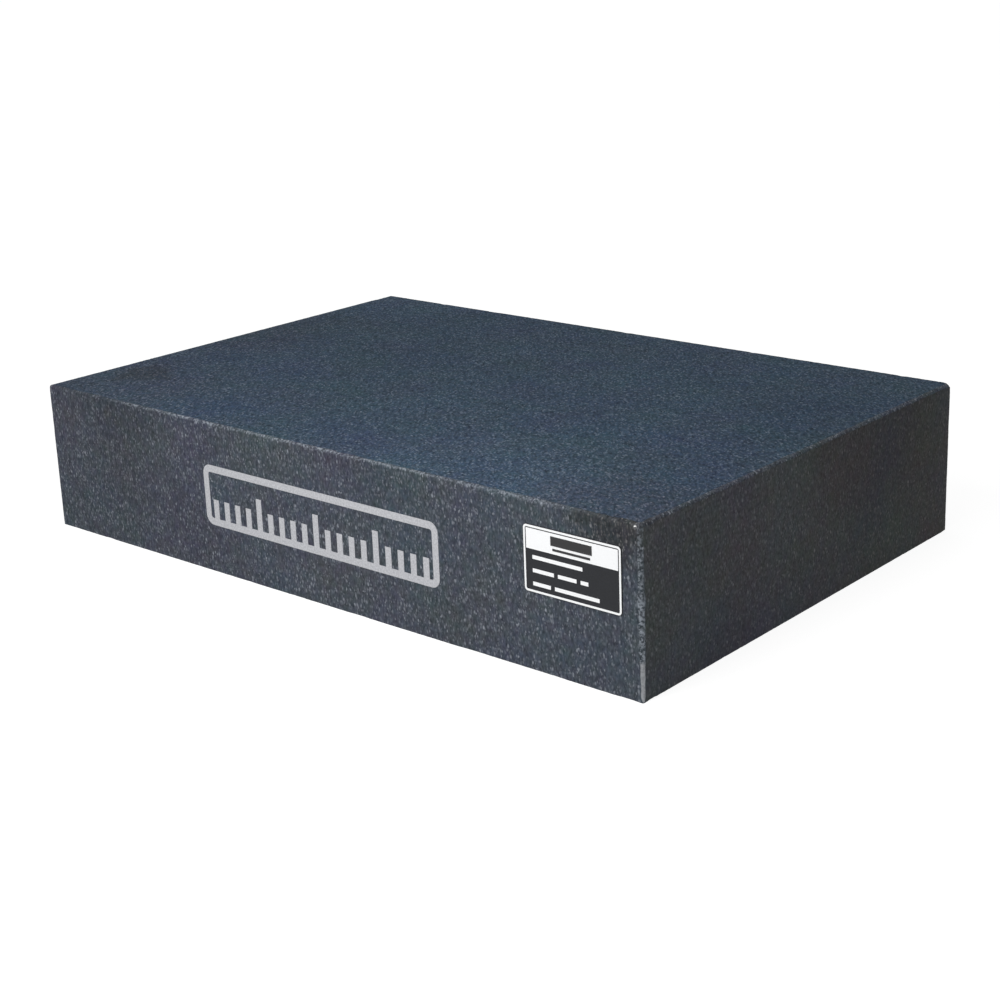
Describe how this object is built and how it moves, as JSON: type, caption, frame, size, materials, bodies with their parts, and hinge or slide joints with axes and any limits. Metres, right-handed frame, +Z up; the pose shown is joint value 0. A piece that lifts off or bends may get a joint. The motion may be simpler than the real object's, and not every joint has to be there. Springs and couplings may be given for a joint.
{
  "type": "granite surface plate",
  "caption": "Rectangular black granite surface plate with a lapped flat top, broken edges, a data label and a printed rule mark on its long front.",
  "frame": {"origin": "middle of the slab's base, on the surface that the plate stands on", "axes": "+X along the long front, to the right as seen from the labelled side; +Y from the labelled front to the back; +Z up, out of the lapped working face"},
  "size_m": [0.3, 0.2005, 0.06],
  "materials": {
    "granite": "satin",
    "label_film": "satin",
    "label_white": "satin",
    "label_black": "satin",
    "mark_paint": "matte"
  },
  "bodies": {
    "root": {"granite_slab": "granite", "label_plate": "label_film", "label_white_print": "label_white", "label_black_print": "label_black", "front_mark": "mark_paint"}
  },
  "joints": []
}
